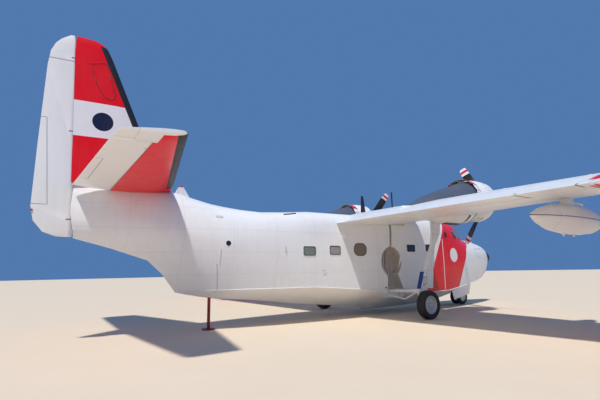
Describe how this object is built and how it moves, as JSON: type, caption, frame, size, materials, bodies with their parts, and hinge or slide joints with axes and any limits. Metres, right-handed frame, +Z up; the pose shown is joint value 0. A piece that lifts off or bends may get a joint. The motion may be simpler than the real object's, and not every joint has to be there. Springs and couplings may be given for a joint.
{
  "type": "twin-engined flying boat",
  "caption": "High-winged amphibious flying boat on its wheels, with radial engines, wing floats, drop tanks, moving control surfaces and a support post under the tail.",
  "frame": {"origin": "centre of the bounding box in plan, on the ground", "axes": "+X forward to the nose, +Y to the pilot's left, +Z up"},
  "size_m": [19.15, 29.46, 7.87],
  "materials": {
    "hull_paint": "gloss white paint",
    "red_paint": "gloss red paint",
    "slate_paint": "matt dark slate paint",
    "black_paint": "matt black paint",
    "under_paint": "off-white paint",
    "post_paint": "worn dark red paint",
    "glazing": "dark glass",
    "bare_steel": "dull bare metal",
    "tyre_rubber": "matt black rubber"
  },
  "bodies": {
    "airframe": {"hull": "hull_paint", "windscreen": "glazing", "radome": "black_paint", "wing_centre": "hull_paint", "wing_outer_left": "hull_paint", "wing_outer_right": "hull_paint", "nacelle_left": "slate_paint", "nacelle_right": "slate_paint", "cowl_left": "hull_paint", "cowl_right": "hull_paint", "engine_left": "bare_steel", "engine_right": "bare_steel", "fin": "red_paint", "stabilizer_left": "red_paint", "stabilizer_right": "red_paint", "wing_float_left": "hull_paint", "wing_float_right": "hull_paint", "float_strut_left": "hull_paint", "float_strut_right": "hull_paint", "drop_tank_left": "under_paint", "drop_tank_right": "under_paint", "tank_pylon_left": "under_paint", "tank_pylon_right": "under_paint", "main_leg_left": "hull_paint", "main_leg_right": "hull_paint", "main_arms_left": "bare_steel", "main_arms_right": "bare_steel", "nose_strut": "bare_steel", "nose_door_left": "hull_paint", "nose_door_right": "hull_paint", "wire_mast": "black_paint", "blade_aerial": "black_paint", "beacon_pylon": "hull_paint", "tail_post": "post_paint"},
    "propeller_left": {"propeller_left": "black_paint"},
    "main_wheel_left": {"main_rim_left": "bare_steel", "main_tyre_left": "tyre_rubber"},
    "propeller_right": {"propeller_right": "black_paint"},
    "main_wheel_right": {"main_rim_right": "bare_steel", "main_tyre_right": "tyre_rubber"},
    "nose_fork": {"nose_fork": "bare_steel"},
    "nose_wheels": {"nose_rims": "bare_steel", "nose_tyre_left": "tyre_rubber", "nose_tyre_right": "tyre_rubber"},
    "flap_left": {"flap_left": "hull_paint"},
    "flap_right": {"flap_right": "hull_paint"},
    "aileron_left": {"aileron_left": "hull_paint"},
    "aileron_right": {"aileron_right": "hull_paint"},
    "elevator_left": {"elevator_left": "hull_paint"},
    "elevator_right": {"elevator_right": "hull_paint"},
    "rudder": {"rudder": "hull_paint"},
    "cabin_door": {"cabin_door": "hull_paint"}
  },
  "joints": [
    {"name": "propeller_left_spin", "type": "hinge", "parent": "airframe", "child": "propeller_left", "pos_m": [4.62, 3.06, 4], "axis": [1, 0, 0], "continuous": true},
    {"name": "propeller_right_spin", "type": "hinge", "parent": "airframe", "child": "propeller_right", "pos_m": [4.62, -3.06, 4], "axis": [1, 0, 0], "continuous": true},
    {"name": "main_wheel_left_roll", "type": "hinge", "parent": "airframe", "child": "main_wheel_left", "pos_m": [1.32, 2.72, 0.455], "axis": [0, 1, 0], "continuous": true},
    {"name": "main_wheel_right_roll", "type": "hinge", "parent": "airframe", "child": "main_wheel_right", "pos_m": [1.32, -2.72, 0.455], "axis": [0, 1, 0], "continuous": true},
    {"name": "nose_steering", "type": "hinge", "parent": "airframe", "child": "nose_fork", "pos_m": [7, 0, 0.8], "axis": [0, 0, 1], "range_deg": [-40, 40]},
    {"name": "nose_wheels_roll", "type": "hinge", "parent": "nose_fork", "child": "nose_wheels", "pos_m": [7, 0, 0.33], "axis": [0, 1, 0], "continuous": true},
    {"name": "flap_left_hinge", "type": "hinge", "parent": "airframe", "child": "flap_left", "pos_m": [-0.23359, 4.84, 3.28147], "axis": [-0.0236, -0.9997, 0.001], "range_deg": [0, 40]},
    {"name": "flap_right_hinge", "type": "hinge", "parent": "airframe", "child": "flap_right", "pos_m": [-0.23359, -4.84, 3.28147], "axis": [0.0236, -0.9997, -0.001], "range_deg": [0, 40]},
    {"name": "aileron_left_hinge", "type": "hinge", "parent": "airframe", "child": "aileron_left", "pos_m": [-0.0879, 11.15, 3.27444], "axis": [0.0224, 0.9997, -0.0012], "range_deg": [-20, 20]},
    {"name": "aileron_right_hinge", "type": "hinge", "parent": "airframe", "child": "aileron_right", "pos_m": [-0.0879, -11.15, 3.27444], "axis": [-0.0224, 0.9997, 0.0012], "range_deg": [-20, 20]},
    {"name": "elevator_left_hinge", "type": "hinge", "parent": "airframe", "child": "elevator_left", "pos_m": [-7.95, 2.245, 3.89811], "axis": [0, 0.9997, 0.0237], "range_deg": [-20, 30]},
    {"name": "elevator_right_hinge", "type": "hinge", "parent": "airframe", "child": "elevator_right", "pos_m": [-7.95, -2.245, 3.89811], "axis": [0, 0.9997, -0.0237], "range_deg": [-20, 30]},
    {"name": "rudder_hinge", "type": "hinge", "parent": "airframe", "child": "rudder", "pos_m": [-8.78, 0, 2.53], "axis": [-0.039, 0, 0.9992], "range_deg": [-25, 25]},
    {"name": "cabin_door_hinge", "type": "hinge", "parent": "airframe", "child": "cabin_door", "pos_m": [-3.45, 1.158, 2.075], "axis": [0, 0, -1], "range_deg": [0, 110]}
  ],
  "couplings": [
    {"joint": "flap_right_hinge", "follows": "flap_left_hinge", "ratio": 1},
    {"joint": "aileron_right_hinge", "follows": "aileron_left_hinge", "ratio": -1},
    {"joint": "elevator_right_hinge", "follows": "elevator_left_hinge", "ratio": 1}
  ]
}
